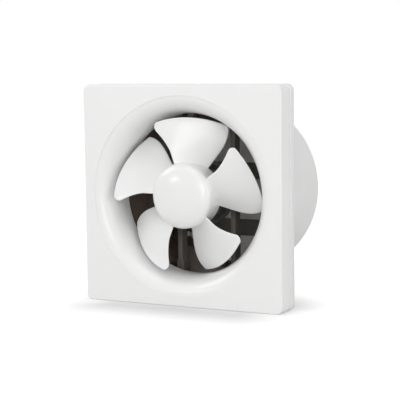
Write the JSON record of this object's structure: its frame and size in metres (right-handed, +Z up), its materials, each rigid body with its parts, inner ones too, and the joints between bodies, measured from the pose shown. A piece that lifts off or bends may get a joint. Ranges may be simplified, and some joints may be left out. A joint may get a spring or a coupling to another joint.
{
  "type": "window exhaust fan",
  "caption": "Square wall or window exhaust fan with a bell-mouth front cover, bladed impeller, round wall duct, motor on bars and gravity shutter flaps at the outlet.",
  "frame": {"origin": "on the fan axis, in the plane of the wall that the square frame rests against", "axes": "+Y along the fan axis, from the room through the wall to the outlet; +Z up; +X to the right as seen from the room"},
  "size_m": [0.34, 0.218, 0.34],
  "materials": {
    "cover_white": "satin moulded white",
    "blade_white": "satin moulded white",
    "duct_white": "fine matt white",
    "brown_plastic": "polished dark brown",
    "black_enamel": "semi-gloss black enamel",
    "black_plastic": "moulded black",
    "flap_grey": "pale grey sheet",
    "steel": "drawn bright",
    "zinc_steel": "zinc plated",
    "brass": "turned",
    "bronze": "sintered, oiled",
    "copper_wire": "enamelled wire, varnished",
    "lamination_steel": "stacked sheet edges",
    "rubber": "matt black",
    "ivory_plastic": "natural moulded",
    "capacitor_case": "moulded black"
  },
  "bodies": {
    "housing": {"wall_frame": "duct_white", "duct": "duct_white", "inner_sleeve": "brown_plastic", "motor_front_shield": "black_enamel", "motor_rear_shield": "black_enamel", "stator_core": "lamination_steel", "front_winding": "copper_wire", "rear_winding": "copper_wire", "front_bearing": "bronze", "rear_bearing": "bronze", "motor_bar_left": "black_plastic", "motor_bar_right": "black_plastic", "motor_screw_upper_right": "zinc_steel", "motor_screw_upper_left": "zinc_steel", "motor_screw_lower_left": "zinc_steel", "motor_screw_lower_right": "zinc_steel", "bar_screw_lower_left": "zinc_steel", "bar_screw_upper_left": "zinc_steel", "bar_screw_lower_right": "zinc_steel", "bar_screw_upper_right": "zinc_steel", "shutter_frame": "black_plastic", "flap_rod_top": "steel", "flap_rod_middle": "steel", "flap_rod_bottom": "steel", "terminal_box": "black_plastic", "terminal_box_lid": "black_plastic", "cable_grommet": "rubber", "terminal_block": "ivory_plastic", "run_capacitor": "capacitor_case", "motor_lead": "rubber", "lead_clip": "ivory_plastic"},
    "cover": {"front_cover": "cover_white"},
    "impeller": {"hub": "blade_white", "hub_boss": "blade_white", "blade_1": "blade_white", "blade_2": "blade_white", "blade_3": "blade_white", "blade_4": "blade_white", "blade_5": "blade_white", "hub_bush": "brass", "grub_screw": "steel", "motor_shaft": "steel", "rotor_core": "lamination_steel"},
    "flap_top": {"flap_top": "flap_grey"},
    "flap_middle": {"flap_middle": "flap_grey"},
    "flap_bottom": {"flap_bottom": "flap_grey"}
  },
  "joints": [
    {"name": "impeller_spin", "type": "hinge", "parent": "housing", "child": "impeller", "pos_m": [0, 0, 0], "axis": [0, 1, 0], "continuous": true},
    {"name": "cover_pull", "type": "slide", "parent": "housing", "child": "cover", "axis": [0, -1, 0], "range_m": [0, 0.08]},
    {"name": "flap_top_hinge", "type": "hinge", "parent": "housing", "child": "flap_top", "pos_m": [0, 0.1603, 0.106], "axis": [1, 0, 0], "range_deg": [0, 80]},
    {"name": "flap_middle_hinge", "type": "hinge", "parent": "housing", "child": "flap_middle", "pos_m": [0, 0.1603, 0.015], "axis": [1, 0, 0], "range_deg": [0, 80]},
    {"name": "flap_bottom_hinge", "type": "hinge", "parent": "housing", "child": "flap_bottom", "pos_m": [0, 0.1603, -0.079], "axis": [1, 0, 0], "range_deg": [0, 80]}
  ]
}
